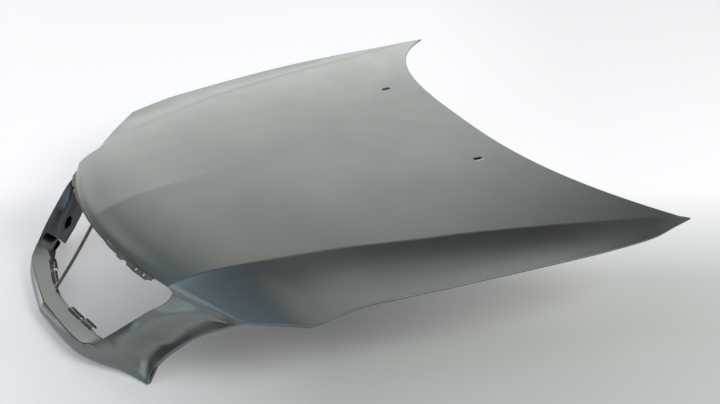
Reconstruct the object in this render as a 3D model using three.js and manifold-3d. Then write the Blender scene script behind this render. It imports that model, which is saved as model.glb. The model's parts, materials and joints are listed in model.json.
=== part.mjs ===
// A bare steel car bonnet: outer skin with a grille opening in its nose, inner frame, and the small
// pressings and fasteners between them. Millimetres, +Z up, -Y to the front of the car, +X to its left.
// The origin is under the middle of the panel, on the floor that the two nose tips stand on.

import * as THREE from 'three';
import Module from 'manifold-3d';
import { mergeVertices } from 'three/addons/utils/BufferGeometryUtils.js';

const wasm = await Module();
wasm.setup();

// Overall places, measured along the car from the panel's middle
const MIDDLE = 561;
const CLEARANCE = 0.3;

// Sheet thicknesses
const SKIN_SHEET = 0.8;
const FRAME_SHEET = 0.7;
const BRACKET_SHEET = 1.2;
const PLATE_THICKNESS = 2.5;

// Half widths of the panel at its named stations
const NOSE_TIP_HALF = 428;
const SHELF_CORNER_HALF = 250;
const OPENING_BOTTOM_HALF = 298;
const OPENING_TOP_HALF = 400;
const CUSP_HALF = 714;
const WIDEST_HALF = 771;
const REAR_CORNER_HALF = 740;
const CREASE_END_HALF = 722;

// Distances behind the start of the centre crease
const NOSE_FRONT = -161;
const LEADING_EDGE = -21;
const NOSE_TIP_BACK = -17;
const CUSP_BACK = 305;
const REAR_CENTRE_BACK = 1035;
const REAR_CORNER_BACK = 1294;

// Heights over the floor
const FLOOR_HEM = 4.2;
const SHELF_HEIGHT = 48;
const LIP_HEIGHT = 257;
const LIP_FALL = 16;
const CREASE_START_HEIGHT = 269;
const CUSP_HEIGHT = 239;
const REAR_CENTRE_HEIGHT = 369;
const REAR_CORNER_HEIGHT = 322;

// Folded edges
const HEM_DROP = 5;
const HEM_LEG = 9;
const HEM_BULGE = 1.2;
const FLANGE_BULGE = 0.9;
const FLANGE_DEPTH = 10;
const OPENING_FLANGE = 9;
// The flange down the side of the opening: height over the floor and depth there
const SIDE_FLANGE = [[72, 6], [88, 9], [100, 24], [116, 30], [150, 29], [172, 20], [192, 11], [205, OPENING_FLANGE]];
const CORNER_LEG = 2;
const LEG_GROWTH = 0.35;
const FOLD_RADIUS = 1.2;

// Surface shape
const FLANK_HOLLOW = -9;
const CHEEK_HOLLOW = -7;
const PILLAR_CROWN = 7;
const BAR_CROWN = 13;
const RIDGE_SLOPE = 0.045;
const RIDGE_START = 0.03;
const RIDGE_FADE = 0.4;
const SWEEP_POWER = [2, 0.8];
const FALL_POWER = [2, 1];
const FLANK_FLATTENS = [0.6, 0.97];
const NOSE_BLEND = [0, 0.12];
const CHEEK_BLEND = [0, 0.15];
const PILLAR_FADES = [0.35, 0.62];
const FINE_STEP = 0.004;
const COARSE_STEP = 0.01;

// Stations along the panel, as shares of its length behind the opening
const CUSP_STATION = 0.21;
const TIP_STATION = 0.47;
const SHELF_STATION = 0.54;
const FRAME_START = 0.06;
const FRAME_END = 0.96;
const HOLE_ROWS = 6;
const STEPS_PER_HOLE = 2;

// Inner frame: hat ribs away from the skin, and lands beside the skin round each lightening hole
const FRAME_DEPTH = 22;
const LAND_DEPTH = 6;
const RIB_INSET = 13;
const LAND_INSET = 21;
const HOLE_INSET = 32;
const HOLE_ROUNDING = 0.82;
const FRAME_TUCKS_IN = [1.1, 1.75];
const FRAME_COLUMNS = [0, 0.1, 0.24, 0.38, 0.52, 0.66, 0.8, 0.94, 1];
const HOLE_COLUMNS = [1, 3, 5];
const STEPS_ACROSS_HOLE = 2;

// Inner walls of the pillars beside the opening
const PILLAR_DEPTH = 34;
const PILLAR_STATIONS = [0.1, 0.15, 0.2, 0.26, 0.32, 0.37, 0.42, TIP_STATION];
const PILLAR_HOLES = [[0.16, 24, 16], [0.41, 20, 14]];

// Closing channel behind the nose bar
const CHANNEL_STATIONS = [0.635, 0.69, 0.76, 0.83, 0.91, 1];
const CHANNEL_LOWER_LEG = 11;
const CHANNEL_DROP = 14;

// Strip under the leading edge: half station along it and how far it hangs down there
const STRIP_WIDTHS = [
  [0, 6], [66, 6], [74, 6], [120, 6], [150, 9], [196, 9], [204, 13], [222, 13], [228, 8], [244, 8],
  [250, 14], [268, 14], [276, 16], [300, 16], [332, 16], [338, 11], [348, 9],
];
const STRIP_TONGUE = 36;
const STRIP_TONGUE_HALF = 70;
const STRIP_LEG = 7;
const STRIP_DROP = 2;
const STRIP_HOLES = [[286, 9], [318, 9]];
const STRIP_HOLE_WIDTH = 7;

// Rod from the shelf up to the strip's tongue
const BRACE_WIDTH = 9;
const BRACE_FOOT_SIDE = -46;
const BRACE_HEAD_SIDE = -32;
const BRACE_BOW = 4;

// Spring clips on the inner edge of the shelf: from and to, measured out from the middle
const CLIP_SPANS = [[74, 138], [152, 190]];
const CLIP_REACH = [10, 15];
const CLIP_GRIP = 8;
const CLIP_LIP = 6;
const CLIP_SHEET = 0.8;

// Plates and weld nuts
const HINGE_STATION = [0.8, 0.845];
const HINGE_PLATE = [46, 116];
const HINGE_BOLT_SPACING = 50;
const LATCH_STATION = [0, 0.17];
const LATCH_PLATE = [110, 64];
const LATCH_BOLT_SPACING = 70;
const LATCH_SLOT = [30, 14];
const CROWN_ALLOWANCE = 1;
const RIDGE_ALLOWANCE = 2.2;
const BOLT_HOLE = 8.5;
const NUT_ACROSS = 13;
const NUT_HEIGHT = 6.5;

// Mastic beads between the frame's lands and the skin
const BEAD_LENGTH = 24;
const BEAD_WIDTH = 9;
const BEAD_ROWS = [1, 3, 5];
const BEAD_SQUEEZE = 0.5;

// Washer slots
const SLOT_HALF = 279;
const SLOT_BACK = 949;
const SLOT_LENGTH = 24;
const SLOT_WIDTH = 11;

const materials = {
  primer: new THREE.MeshStandardMaterial({ color: 0x7b8580, roughness: 0.42, metalness: 0.1 }),
  inner_primer: new THREE.MeshStandardMaterial({ color: 0x4a4f52, roughness: 0.6, metalness: 0.1 }),
  bracket: new THREE.MeshStandardMaterial({ color: 0x7a7868, roughness: 0.6, metalness: 0.2 }),
  clip: new THREE.MeshStandardMaterial({ color: 0x2e3130, roughness: 0.45, metalness: 0.7 }),
  zinc: new THREE.MeshStandardMaterial({ color: 0x9a9a94, roughness: 0.4, metalness: 0.9 }),
  mastic: new THREE.MeshStandardMaterial({ color: 0x2a2a2c, roughness: 0.9, metalness: 0 }),
};

const at = (x, back, height) => new THREE.Vector3(x, back - MIDDLE, height);

// A smooth line through stations, each given as a share of the line and a place on it
function through(stations) {
  const shares = stations.map((station) => station[0]);
  const places = stations.map((station) => at(station[1], station[2], station[3]));
  const tangent = (i) => {
    const before = Math.max(i - 1, 0);
    const after = Math.min(i + 1, places.length - 1);
    return places[after].clone().sub(places[before]).divideScalar(shares[after] - shares[before]);
  };
  const tangents = places.map((place, i) => tangent(i));
  return (share) => {
    let i = 0;
    while (i < shares.length - 2 && share > shares[i + 1]) i += 1;
    const gap = shares[i + 1] - shares[i];
    const t = (share - shares[i]) / gap;
    const start = 2 * t ** 3 - 3 * t ** 2 + 1;
    const leave = (t ** 3 - 2 * t ** 2 + t) * gap;
    const arrive = (t ** 3 - t ** 2) * gap;
    return new THREE.Vector3()
      .addScaledVector(places[i], start)
      .addScaledVector(places[i + 1], 1 - start)
      .addScaledVector(tangents[i], leave)
      .addScaledVector(tangents[i + 1], arrive);
  };
}

// Two lines that meet at a corner of the panel's outline
function joined(share, first, second) {
  return (s) => (s <= share ? first(s) : second(s));
}

// Guide lines of the left half. The first four run back along the car.
const centreLine = through([
  [0, 0, LEADING_EDGE, LIP_HEIGHT],
  [0.007, 0, LEADING_EDGE + 10, LIP_HEIGHT + 7],
  [0.014, 0, 0, CREASE_START_HEIGHT],
  [0.06, 0, 60, CREASE_START_HEIGHT + 21],
  [0.12, 0, 141, CREASE_START_HEIGHT + 38],
  [0.19, 0, 232, CREASE_START_HEIGHT + 49],
  [0.33, 0, 389, CREASE_START_HEIGHT + 66],
  [0.46, 0, 543, REAR_CENTRE_HEIGHT - 24],
  [0.58, 0, 678, REAR_CENTRE_HEIGHT - 17],
  [0.7, 0, 800, REAR_CENTRE_HEIGHT - 11],
  [0.85, 0, 930, REAR_CENTRE_HEIGHT - 5],
  [1, 0, REAR_CENTRE_BACK, REAR_CENTRE_HEIGHT],
]);
const crease = through([
  [0, OPENING_TOP_HALF, 56, LIP_HEIGHT - LIP_FALL],
  [0.014, OPENING_TOP_HALF + 7, 76, LIP_HEIGHT + 11 - LIP_FALL],
  [0.055, OPENING_TOP_HALF + 21, 127, CREASE_START_HEIGHT],
  [0.11, OPENING_TOP_HALF + 41, 196, CREASE_START_HEIGHT + 14],
  [CUSP_STATION, 474, 312, CREASE_START_HEIGHT + 29],
  [0.29, 506, 422, CREASE_START_HEIGHT + 41],
  [0.36, 531, 503, CREASE_START_HEIGHT + 48],
  [0.46, 566, 633, REAR_CORNER_HEIGHT],
  [0.54, 590, 735, REAR_CORNER_HEIGHT + 4],
  [0.7, 640, 940, REAR_CORNER_HEIGHT + 6],
  [0.86, 690, 1140, REAR_CORNER_HEIGHT + 4],
  [1, CREASE_END_HALF, REAR_CORNER_BACK - 20, REAR_CORNER_HEIGHT + 1],
]);
const lampArchTop = through([
  [0, 590, 177, 209],
  [0.07, 634, 222, 222],
  [0.14, 675, 264, 231],
  [CUSP_STATION, CUSP_HALF, CUSP_BACK, CUSP_HEIGHT],
]);
const wingEdge = through([
  [CUSP_STATION, CUSP_HALF, CUSP_BACK, CUSP_HEIGHT],
  [0.25, CUSP_HALF, CUSP_BACK + 55, CUSP_HEIGHT + 14],
  [0.3, CUSP_HALF + 5, CUSP_BACK + 125, CUSP_HEIGHT + 27],
  [0.36, CUSP_HALF + 15, CUSP_BACK + 200, CUSP_HEIGHT + 33],
  [0.46, 743, CUSP_BACK + 315, CUSP_HEIGHT + 41],
  [0.58, 757, CUSP_BACK + 455, CUSP_HEIGHT + 50],
  [0.7, WIDEST_HALF - 4, CUSP_BACK + 600, CUSP_HEIGHT + 57],
  [0.82, WIDEST_HALF, CUSP_BACK + 740, CUSP_HEIGHT + 62],
  [0.92, WIDEST_HALF - 5, CUSP_BACK + 868, CUSP_HEIGHT + 68],
  [0.965, 752, CUSP_BACK + 935, CUSP_HEIGHT + 77],
  [1, REAR_CORNER_HALF, REAR_CORNER_BACK, REAR_CORNER_HEIGHT],
]);
const outerEdge = joined(CUSP_STATION, lampArchTop, wingEdge);

// The next lines run down the side of the opening and in along the nose bar to the middle
const openingSide = through([
  [0, OPENING_TOP_HALF, 56, LIP_HEIGHT - LIP_FALL],
  [0.05, OPENING_TOP_HALF + 12, 62, LIP_HEIGHT - LIP_FALL - 17],
  [0.1, OPENING_TOP_HALF + 9, 46, 204],
  [0.2, 392, 14, 182],
  [0.32, 364, -25, 147],
  [0.44, 329, -70, 104],
  [SHELF_STATION, OPENING_BOTTOM_HALF, -102, SHELF_HEIGHT + 23],
  [0.58, OPENING_BOTTOM_HALF - 8, -110, SHELF_HEIGHT + 18],
  [0.63, 272, -120, SHELF_HEIGHT + 12],
  [0.69, SHELF_CORNER_HALF, -131, SHELF_HEIGHT + 7],
  [0.8, 180, -143, SHELF_HEIGHT + 3],
  [0.9, 91, -152, SHELF_HEIGHT + 1],
  [1, 0, NOSE_FRONT + 1, SHELF_HEIGHT],
]);
const lampArchSide = through([
  [0, 590, 177, 209],
  [0.1, 560, 150, 193],
  [0.2, 518, 115, 164],
  [0.28, 488, 85, 140],
  [0.34, 458, 50, 106],
  [0.4, 434, 20, 70],
  [0.44, 420, -2, 34],
  [TIP_STATION, NOSE_TIP_HALF, NOSE_TIP_BACK, FLOOR_HEM],
]);
const barBottom = through([
  [TIP_STATION, NOSE_TIP_HALF, NOSE_TIP_BACK, FLOOR_HEM],
  [0.53, 381, -37, FLOOR_HEM],
  [0.59, 338, -59, FLOOR_HEM],
  [0.66, 286, -95, FLOOR_HEM],
  [0.75, 219, -127, FLOOR_HEM],
  [0.88, 102, -148, FLOOR_HEM],
  [1, 0, NOSE_FRONT, FLOOR_HEM],
]);
const lowerEdge = joined(TIP_STATION, lampArchSide, barBottom);
const shelfEdge = through([
  [SHELF_STATION, OPENING_BOTTOM_HALF, -102, SHELF_HEIGHT + 23],
  [0.6, 268, -88, SHELF_HEIGHT + 15],
  [0.66, 238, -86, SHELF_HEIGHT + 11],
  [0.76, 186, -91, SHELF_HEIGHT + 9],
  [0.88, 92, -107, SHELF_HEIGHT + 6],
  [1, 0, -114, SHELF_HEIGHT + 4],
]);

// The top panel, between the centre line and the side crease
function topPoint(across, along) {
  const middle = centreLine(along);
  const side = crease(along);
  const sweep = across ** (SWEEP_POWER[0] + SWEEP_POWER[1] * along);
  const fall = across ** (FALL_POWER[0] + FALL_POWER[1] * along);
  const ridge = RIDGE_SLOPE * Math.max(0, 1 - along / RIDGE_FADE) * Math.min(1, along / RIDGE_START);
  const x = side.x * across;
  return new THREE.Vector3(
    x,
    middle.y + (side.y - middle.y) * sweep,
    middle.z + (side.z - middle.z) * fall - ridge * x * (1 - across),
  );
}

// The way out of the strip between two guide lines; turn is -1 where the lines run the other way
function stripOutward(upper, lower, along, turn) {
  const low = Math.max(along - FINE_STEP, 0);
  const high = Math.min(along + FINE_STEP, 1);
  const sideways = lower(along).sub(upper(along));
  const onward = upper(high).add(lower(high)).sub(upper(low)).sub(lower(low));
  return sideways.cross(onward).multiplyScalar(turn).normalize();
}

const fade = (value, from, to) => THREE.MathUtils.smoothstep(value, from, to);

// A point between two guide lines, lifted along outward by a bow and an S-shaped sway
function stripPoint(from, to, outward, across, bow, sway) {
  const lift = bow * Math.sin(Math.PI * across) + sway * Math.sin(2 * Math.PI * across);
  return from.lerp(to, across).addScaledVector(outward, lift);
}

function flankPoint(across, along) {
  const outward = stripOutward(crease, outerEdge, along, 1);
  const bow = FLANK_HOLLOW * (1 - fade(along, ...FLANK_FLATTENS));
  return stripPoint(crease(along), outerEdge(along), outward, across, bow, 0);
}

function nosePoint(across, along) {
  const outward = stripOutward(openingSide, lowerEdge, along, -1);
  outward.lerp(stripOutward(crease, outerEdge, 0, 1), 1 - fade(along, ...NOSE_BLEND));
  if (along === 1) outward.setX(0);
  outward.normalize();
  const pillar = 1 - fade(along, ...PILLAR_FADES);
  const hollow = THREE.MathUtils.lerp(FLANK_HOLLOW, CHEEK_HOLLOW, fade(along, ...CHEEK_BLEND));
  const bow = THREE.MathUtils.lerp(BAR_CROWN, hollow, pillar);
  const sway = PILLAR_CROWN * pillar * fade(along, ...NOSE_BLEND);
  return stripPoint(openingSide(along), lowerEdge(along), outward, across, bow, sway);
}

const shelfPoint = (across, along) => openingSide(along).lerp(shelfEdge(along), across);

// A point of the skin behind the opening: 0 to 1 is the top panel, 1 to 2 the flank
const skinPoint = (across, along) => (across <= 1 ? topPoint(across, along) : flankPoint(across - 1, along));

function skinNormal(across, along) {
  const left = Math.max(across - FINE_STEP, 0);
  const right = Math.min(across + FINE_STEP, 2);
  const sideways = skinPoint(right, along).sub(skinPoint(left, along));
  if (across === 0) sideways.set(1, 0, 0);
  const low = Math.max(along - FINE_STEP, 0);
  const high = Math.min(along + FINE_STEP, 1);
  const onward = skinPoint(across, high).sub(skinPoint(across, low));
  return new THREE.Vector3().crossVectors(sideways, onward).normalize();
}

// An open surface of shared points and faces, which all turn the same way
class Sheet {
  constructor() {
    this.points = [];
    this.faces = [];
    this.lookup = new Map();
  }

  add(point) {
    const key = point.toArray().map((value) => Math.round(value * 50)).join(' ');
    if (!this.lookup.has(key)) {
      this.lookup.set(key, this.points.length);
      this.points.push(point.clone());
    }
    return this.lookup.get(key);
  }

  face(a, b, c) {
    if (a !== b && b !== c && c !== a) this.faces.push([a, b, c]);
  }

  // Rows of points joined by quads; turned gives the other winding
  grid(rows, turned = false) {
    const ids = rows.map((row) => row.map((point) => this.add(point)));
    for (let i = 0; i + 1 < ids.length; i += 1) {
      for (let j = 0; j + 1 < ids[i].length; j += 1) {
        const [a, b, c, d] = [ids[i][j], ids[i][j + 1], ids[i + 1][j + 1], ids[i + 1][j]];
        if (turned) {
          this.face(a, c, b);
          this.face(a, d, c);
        } else {
          this.face(a, b, c);
          this.face(a, c, d);
        }
      }
    }
  }

  // The same rows on both halves of the panel
  bothHalves(rows, turned = false) {
    this.grid(rows, turned);
    this.grid(rows.map((row) => row.map(mirrored)), !turned);
  }

  normals() {
    const sums = this.points.map(() => new THREE.Vector3());
    for (const ids of this.faces) {
      const [a, b, c] = ids.map((id) => this.points[id]);
      const turn = b.clone().sub(a).cross(c.clone().sub(a));
      ids.forEach((id) => sums[id].add(turn));
    }
    return sums.map((sum) => sum.normalize());
  }

  // Each open edge as a ring of point numbers, with the surface on its left
  loops() {
    const next = new Map();
    const seen = new Set(this.faces.flatMap(([a, b, c]) => [`${a} ${b}`, `${b} ${c}`, `${c} ${a}`]));
    for (const pair of seen) {
      const [a, b] = pair.split(' ');
      if (!seen.has(`${b} ${a}`)) next.set(Number(a), Number(b));
    }
    const rings = [];
    while (next.size > 0) {
      const ring = [];
      let id = next.keys().next().value;
      while (next.has(id)) {
        const following = next.get(id);
        ring.push(id);
        next.delete(id);
        id = following;
      }
      rings.push(ring);
    }
    return rings;
  }
}

const mirrored = (point) => new THREE.Vector3(-point.x, point.y, point.z);

// Where an edge of a sheet runs, which way is out of the sheet and which way is up from it
function edgeFrames(sheet, ring, normals) {
  return ring.map((id, i) => {
    const before = sheet.points[ring[(i + ring.length - 1) % ring.length]];
    const after = sheet.points[ring[(i + 1) % ring.length]];
    const place = sheet.points[id];
    const run = after.clone().sub(place).normalize().add(place.clone().sub(before).normalize());
    const up = normals[id].clone();
    const out = run.cross(up).normalize();
    return { place, up, out };
  });
}

const offset = (frame, outward, upward) => frame.place.clone()
  .addScaledVector(frame.out, outward)
  .addScaledVector(frame.up, upward);

// A sheet given its thickness below its faces, with its edges folded along the paths that foldOf returns
function foldedSheet(sheet, thickness, foldOf) {
  const normals = sheet.normals();
  const points = [...sheet.points];
  const shift = points.length;
  sheet.points.forEach((point, i) => points.push(point.clone().addScaledVector(normals[i], -thickness)));
  const faces = sheet.faces.flatMap(([a, b, c]) => [[a, b, c], [c + shift, b + shift, a + shift]]);
  const push = (point) => points.push(point) - 1;
  for (const ring of sheet.loops()) {
    const frames = edgeFrames(sheet, ring, normals);
    const folds = frames.map((frame) => foldOf(frame, sheet));
    let upper = ring;
    let lower = ring.map((id) => id + shift);
    const band = (rowA, rowB, turned) => rowA.forEach((a, i) => {
      const j = (i + 1) % rowA.length;
      const quad = [rowA[j], a, rowB[i], rowB[j]];
      if (turned) quad.reverse();
      faces.push([quad[0], quad[1], quad[2]], [quad[0], quad[2], quad[3]]);
    });
    const steps = folds[0].over.length;
    for (let step = 0; step < steps; step += 1) {
      const nextUpper = frames.map((frame, i) => push(offset(frame, ...folds[i].over[step])));
      const nextLower = frames.map((frame, i) => push(offset(frame, ...folds[i].under[step])));
      band(upper, nextUpper, false);
      band(lower, nextLower, true);
      upper = nextUpper;
      lower = nextLower;
    }
    band(upper, lower, false);
  }
  return meshGeometry(points, faces);
}

function meshGeometry(points, faces) {
  const geometry = new THREE.BufferGeometry();
  geometry.setAttribute('position', new THREE.Float32BufferAttribute(points.flatMap((p) => p.toArray()), 3));
  geometry.setIndex(faces.flat());
  return geometry;
}

// A closed solid swept through rows of points: each row is the same section, anticlockwise, at another station
function loft(rows, section) {
  const count = section.length;
  const points = rows.flat();
  const faces = [];
  for (let i = 0; i + 1 < rows.length; i += 1) {
    for (let j = 0; j < count; j += 1) {
      const k = (j + 1) % count;
      const [a, b, c, d] = [i * count + j, i * count + k, (i + 1) * count + k, (i + 1) * count + j];
      faces.push([a, b, c], [a, c, d]);
    }
  }
  const flat = section.map(([u, w]) => new THREE.Vector2(u, w));
  const last = (rows.length - 1) * count;
  for (const [a, b, c] of THREE.ShapeUtils.triangulateShape(flat, [])) {
    faces.push([c, b, a], [a + last, b + last, c + last]);
  }
  return facingOut(meshGeometry(points, faces));
}

function facingOut(geometry) {
  const position = geometry.getAttribute('position');
  const index = geometry.getIndex();
  const corner = (i) => new THREE.Vector3().fromBufferAttribute(position, index.getX(i));
  let volume = 0;
  for (let i = 0; i < index.count; i += 3) {
    volume += corner(i).dot(corner(i + 1).cross(corner(i + 2)));
  }
  if (volume < 0) {
    for (let i = 0; i < index.count; i += 3) {
      const kept = index.getX(i);
      index.setX(i, index.getX(i + 1));
      index.setX(i + 1, kept);
    }
  }
  return geometry;
}

// Joins and cuts
function solid(geometry) {
  const bare = geometry.clone();
  bare.deleteAttribute('normal');
  bare.deleteAttribute('uv');
  const merged = mergeVertices(bare, 1e-4);
  return new wasm.Manifold(new wasm.Mesh({
    numProp: 3,
    vertProperties: new Float32Array(merged.getAttribute('position').array),
    triVerts: new Uint32Array(merged.getIndex().array),
  }));
}

function cut(geometry, tools) {
  let body = solid(geometry);
  tools.forEach((tool) => { body = body.subtract(solid(tool)); });
  const mesh = body.getMesh();
  const result = new THREE.BufferGeometry();
  result.setAttribute('position', new THREE.Float32BufferAttribute(mesh.vertProperties, 3));
  result.setIndex([...mesh.triVerts]);
  return result;
}

// Stations shared by the skin and the inner frame, so that their facets lie parallel
const rowStations = [0, 0.004, 0.009, 0.014, 0.03, FRAME_START];
const rowStep = (FRAME_END - FRAME_START) / (HOLE_ROWS * STEPS_PER_HOLE);
for (let i = 1; i <= HOLE_ROWS * STEPS_PER_HOLE; i += 1) rowStations.push(FRAME_START + i * rowStep);
rowStations.push(1);
const flankColumns = [0, 0.25, 0.5, 0.75, 1];
const noseStations = [0, 0.05, 0.1, 0.15, 0.2, 0.26, 0.32, 0.37, 0.42, TIP_STATION, 0.505, SHELF_STATION,
  0.585, 0.635, 0.69, 0.76, 0.83, 0.91, 1];

const rowsOf = (stations, columns, point) => stations.map((along) => columns.map((across) => point(across, along)));

function skinSheet() {
  const sheet = new Sheet();
  sheet.bothHalves(rowsOf(rowStations, FRAME_COLUMNS, topPoint));
  sheet.bothHalves(rowsOf(rowStations, flankColumns, flankPoint));
  sheet.bothHalves(rowsOf(noseStations, flankColumns, nosePoint), true);
  const shelfStations = noseStations.filter((station) => station >= SHELF_STATION);
  sheet.bothHalves(rowsOf(shelfStations, [0, 0.5, 1], shelfPoint));
  return sheet;
}

// Which fold an edge point of the skin has
const isRearOrSide = (place) => place.y + MIDDLE > CUSP_BACK + 1;
const isOuterRing = (frame) => {
  const half = Math.abs(frame.place.x);
  const back = frame.place.y + MIDDLE;
  return back > 250 || frame.place.z < SHELF_HEIGHT - 10 || half > OPENING_TOP_HALF + 14;
};

const rearCorner = at(REAR_CORNER_HALF, REAR_CORNER_BACK, REAR_CORNER_HEIGHT);
const cusp = at(CUSP_HALF, CUSP_BACK, CUSP_HEIGHT);
const noseTip = at(NOSE_TIP_HALF, NOSE_TIP_BACK, FLOOR_HEM);

function legLength(place, full) {
  const left = new THREE.Vector3(Math.abs(place.x), place.y, place.z);
  const reach = Math.min(...[rearCorner, cusp, noseTip].map((corner) => corner.distanceTo(left)));
  return Math.min(full, CORNER_LEG + LEG_GROWTH * reach);
}

// A rope hem: over the edge, down, and back under the panel
function hemFold(leg) {
  return {
    over: [[HEM_BULGE, -FOLD_RADIUS], [HEM_BULGE, FOLD_RADIUS - HEM_DROP], [0, -HEM_DROP], [-leg, -HEM_DROP]],
    under: [
      [HEM_BULGE - SKIN_SHEET, -FOLD_RADIUS - 0.2],
      [HEM_BULGE - SKIN_SHEET, FOLD_RADIUS + 0.2 - HEM_DROP],
      [0, SKIN_SHEET - HEM_DROP],
      [-leg, SKIN_SHEET - HEM_DROP],
    ],
  };
}

// A plain flange turned down from the edge
function flangeFold(depth) {
  const inside = FLANGE_BULGE - SKIN_SHEET;
  return {
    over: [[0.6, -0.3], [FLANGE_BULGE, -FOLD_RADIUS], [FLANGE_BULGE, -depth / 2], [FLANGE_BULGE, -depth]],
    under: [[0, -1], [inside, -FOLD_RADIUS - 0.1], [inside, -depth / 2], [inside, -depth]],
  };
}

// How deep the opening's flange is at a place on its edge
function openingFlange(place) {
  if (Math.abs(place.x) < OPENING_BOTTOM_HALF || place.z > SIDE_FLANGE.at(-1)[0]) return OPENING_FLANGE;
  let i = 0;
  while (i < SIDE_FLANGE.length - 2 && place.z > SIDE_FLANGE[i + 1][0]) i += 1;
  const [[low, depthLow], [high, depthHigh]] = [SIDE_FLANGE[i], SIDE_FLANGE[i + 1]];
  return THREE.MathUtils.mapLinear(Math.max(place.z, low), low, high, depthLow, depthHigh);
}

function skinFold(frame) {
  if (!isOuterRing(frame)) return flangeFold(openingFlange(frame.place));
  if (isRearOrSide(frame.place)) return hemFold(legLength(frame.place, HEM_LEG));
  return flangeFold(legLength(frame.place, FLANGE_DEPTH));
}

const skin = skinSheet();
const skinNormals = skin.normals();
const skinFrames = new Map();
for (const ring of skin.loops()) {
  edgeFrames(skin, ring, skinNormals).forEach((frame, i) => skinFrames.set(ring[i], frame));
}
const frameAt = (point) => skinFrames.get(skin.add(point));

// Prisms that cut through a sheet, with the section in the plane of the sheet
function prism(shape, seat, reach, segments) {
  const settings = { depth: 2 * reach, bevelEnabled: false, curveSegments: segments };
  const geometry = new THREE.ExtrudeGeometry(shape, settings).translate(0, 0, -reach);
  return geometry.applyMatrix4(seat);
}

function roundSlot(length, width) {
  const shape = new THREE.Shape();
  const straight = (length - width) / 2;
  shape.absarc(0, straight, width / 2, 0, Math.PI);
  shape.absarc(0, -straight, width / 2, Math.PI, 2 * Math.PI);
  return shape;
}

function disc(width) {
  const shape = new THREE.Shape();
  shape.absarc(0, 0, width / 2, 0, 2 * Math.PI);
  return shape;
}

// Axes at a place: third axis out of the sheet, second axis towards the rear
function seatMatrix(origin, up, rearward) {
  const side = rearward.clone().cross(up).normalize();
  const onward = up.clone().cross(side).normalize();
  return new THREE.Matrix4().makeBasis(side, onward, up).setPosition(origin);
}

function skinSeat(across, along, depth, side) {
  const up = skinNormal(across, along);
  const origin = skinPoint(across, along).addScaledVector(up, -depth);
  const rearward = skinPoint(across, along + COARSE_STEP).sub(skinPoint(across, along - COARSE_STEP));
  if (side < 0) [origin, up, rearward].forEach((vector) => vector.setX(-vector.x));
  return seatMatrix(origin, up, rearward);
}

function outerSkin() {
  const seats = [1, -1].map((side) => {
    const middle = at(side * SLOT_HALF, SLOT_BACK, REAR_CENTRE_HEIGHT);
    return seatMatrix(middle, new THREE.Vector3(0, 0, 1), new THREE.Vector3(0, 1, 0));
  });
  const cutters = seats.map((seat) => prism(roundSlot(SLOT_LENGTH, SLOT_WIDTH), seat, 30, 5));
  return cut(foldedSheet(skin, SKIN_SHEET, skinFold), cutters);
}

const plainEdge = () => ({ over: [], under: [] });
const HEM_SEAT = HEM_DROP - SKIN_SHEET - CLEARANCE - FRAME_SHEET;
const HEM_INSIDE = -1.5;
const CUSP_INSIDE = -16;
const CUSP_CLEAR = 130;

// How far the inner frame lies under the skin
function frameDepth(across, along) {
  const front = fade(along, FRAME_START, FRAME_START + rowStep);
  const rear = 1 - fade(along, FRAME_END - rowStep, FRAME_END);
  const side = 1 - fade(across, ...FRAME_TUCKS_IN);
  return HEM_SEAT + (FRAME_DEPTH - HEM_SEAT) * front * rear * side;
}

function framePoint(across, along, depth = frameDepth(across, along)) {
  return skinPoint(across, along).addScaledVector(skinNormal(across, along), -depth);
}

const frameRows = rowStations.filter((station) => station >= FRAME_START && station <= FRAME_END + 1e-6);

// A rib cell of the frame: its outline, the edge of the rib, the land beside the skin and the hole
function holeCell(column, row) {
  const columns = FRAME_COLUMNS.slice(column, column + STEPS_ACROSS_HOLE + 1);
  const rows = frameRows.slice(row * STEPS_PER_HOLE, (row + 1) * STEPS_PER_HOLE + 1);
  const outline = [
    ...columns.slice(0, -1).map((across) => [across, rows[0]]),
    ...rows.slice(0, -1).map((along) => [columns.at(-1), along]),
    ...columns.slice(1).reverse().map((across) => [across, rows.at(-1)]),
    ...rows.slice(1).reverse().map((along) => [columns[0], along]),
  ];
  outline.push(outline[0]);
  const middle = [(columns[0] + columns.at(-1)) / 2, (rows[0] + rows.at(-1)) / 2];
  const halfAcross = (columns.at(-1) - columns[0]) / 2;
  const halfAlong = (rows.at(-1) - rows[0]) / 2;
  const reach = (a, b) => skinPoint(...a).distanceTo(skinPoint(...b));
  const width = reach([columns[0], middle[1]], [columns.at(-1), middle[1]]) / 2;
  const length = reach([middle[0], rows[0]], [middle[0], rows.at(-1)]) / 2;
  const ringAt = (inset, depth, rounding) => outline.map(([across, along]) => {
    const u = (across - middle[0]) / halfAcross;
    const w = (along - middle[1]) / halfAlong;
    const corner = Math.abs(u) > 0.99 && Math.abs(w) > 0.99 ? rounding : 1;
    const shareAcross = middle[0] + u * corner * halfAcross * (1 - inset / width);
    const shareAlong = middle[1] + w * corner * halfAlong * (1 - inset / length);
    return framePoint(shareAcross, shareAlong, depth);
  });
  return [
    outline.map(([across, along]) => framePoint(across, along)),
    ringAt(RIB_INSET, FRAME_DEPTH, 0.97),
    ringAt(LAND_INSET, LAND_DEPTH, 0.93),
    ringAt(HOLE_INSET, LAND_DEPTH, HOLE_ROUNDING),
  ];
}

const isPlatform = (column, row) => (
  (row === 0 && column === HOLE_COLUMNS[0]) || (row === HOLE_ROWS - 1 && column === HOLE_COLUMNS[2])
);

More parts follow.
